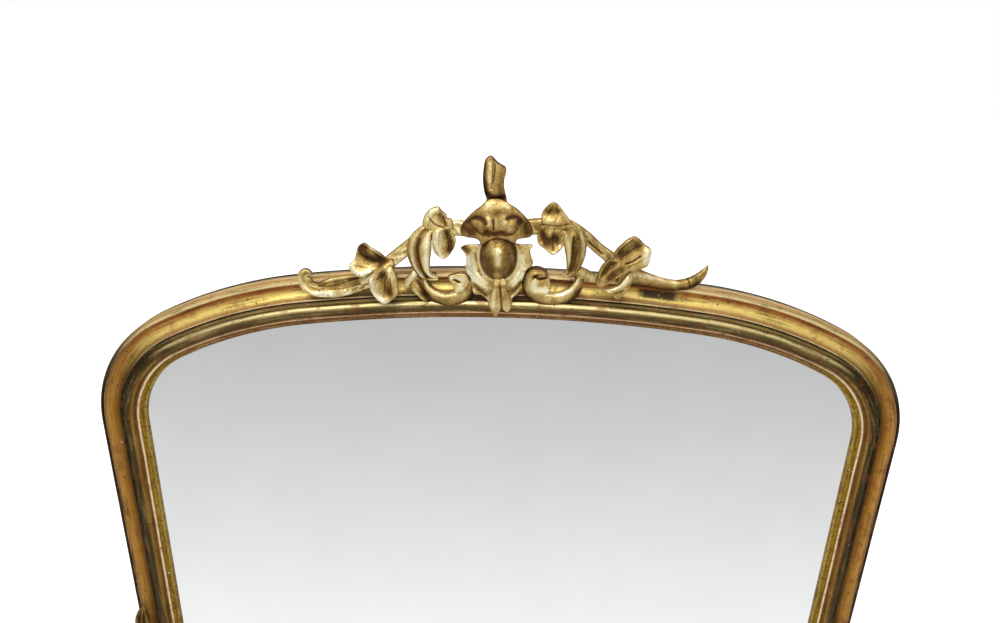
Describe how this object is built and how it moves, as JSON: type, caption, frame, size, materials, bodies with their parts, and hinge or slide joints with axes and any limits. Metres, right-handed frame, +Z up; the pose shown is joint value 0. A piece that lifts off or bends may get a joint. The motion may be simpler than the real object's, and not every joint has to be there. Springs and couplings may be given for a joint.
{
  "type": "overmantel mirror",
  "caption": "Arched gilt overmantel mirror with a cove moulding, burnished slip, carved leaf crest, scrolled feet and hanging rings let into its back.",
  "frame": {"origin": "centre of the flat underside of the bottom rail, where the mirror stands on the mantel shelf", "axes": "+Z up, +X to the right seen from the front, -Y out of the mirror towards the viewer, +Y to the wall"},
  "size_m": [1.3364, 0.0618, 1.265],
  "materials": {
    "gilded_moulding": "worn gilding over red bole",
    "burnished_gilding": "burnished and darkened gilding",
    "gilded_carving": "worn gilding on carved leaves",
    "mirror_glass": "silvered plate glass",
    "pine": "old unfinished pine",
    "beech": "planed",
    "steel_screw": "aged",
    "hanging_steel": "darkened"
  },
  "bodies": {
    "mirror": {"back_board_1": "pine", "back_board_2": "pine", "back_board_3": "pine", "back_board_4": "pine", "back_board_5": "pine", "back_board_6": "pine", "board_screws": "steel_screw", "crest_cabochon": "gilded_carving", "crest_cartouche": "gilded_carving", "crest_finial": "gilded_carving", "crest_hood": "gilded_carving", "crest_left_crescent": "gilded_carving", "crest_left_inner_leaf": "gilded_carving", "crest_left_outer_leaf": "gilded_carving", "crest_left_scroll": "gilded_carving", "crest_left_stem": "gilded_carving", "crest_left_tail": "gilded_carving", "crest_pendant": "gilded_carving", "crest_right_crescent": "gilded_carving", "crest_right_inner_leaf": "gilded_carving", "crest_right_outer_leaf": "gilded_carving", "crest_right_scroll": "gilded_carving", "crest_right_stem": "gilded_carving", "crest_right_tail": "gilded_carving", "crest_screws": "steel_screw", "crest_stay": "pine", "frame_bottom": "gilded_moulding", "frame_crown": "gilded_moulding", "frame_left_shoulder": "gilded_moulding", "frame_left_stile": "gilded_moulding", "frame_right_shoulder": "gilded_moulding", "frame_right_stile": "gilded_moulding", "glazing_blocks": "pine", "hanger_screws": "steel_screw", "joint_tongues": "beech", "left_corner_leaf": "gilded_carving", "left_foot_bracket": "gilded_carving", "left_foot_volute": "gilded_carving", "left_hanger_plate": "hanging_steel", "left_side_leaf": "gilded_carving", "mirror_plate": "mirror_glass", "right_corner_leaf": "gilded_carving", "right_foot_bracket": "gilded_carving", "right_foot_volute": "gilded_carving", "right_hanger_plate": "hanging_steel", "right_side_leaf": "gilded_carving", "slip_bottom": "burnished_gilding", "slip_crown": "burnished_gilding", "slip_left_shoulder": "burnished_gilding", "slip_left_stile": "burnished_gilding", "slip_right_shoulder": "burnished_gilding", "slip_right_stile": "burnished_gilding", "stay_screws": "steel_screw"},
    "left_ring": {"left_hanging_ring": "hanging_steel"},
    "right_ring": {"right_hanging_ring": "hanging_steel"}
  },
  "joints": [
    {"name": "left_ring_swing", "type": "hinge", "parent": "mirror", "child": "left_ring", "pos_m": [-0.588, 0.00748, 0.72], "axis": [1, 0, 0], "range_deg": [0, 150]},
    {"name": "right_ring_swing", "type": "hinge", "parent": "mirror", "child": "right_ring", "pos_m": [0.588, 0.00748, 0.72], "axis": [1, 0, 0], "range_deg": [0, 150]}
  ]
}
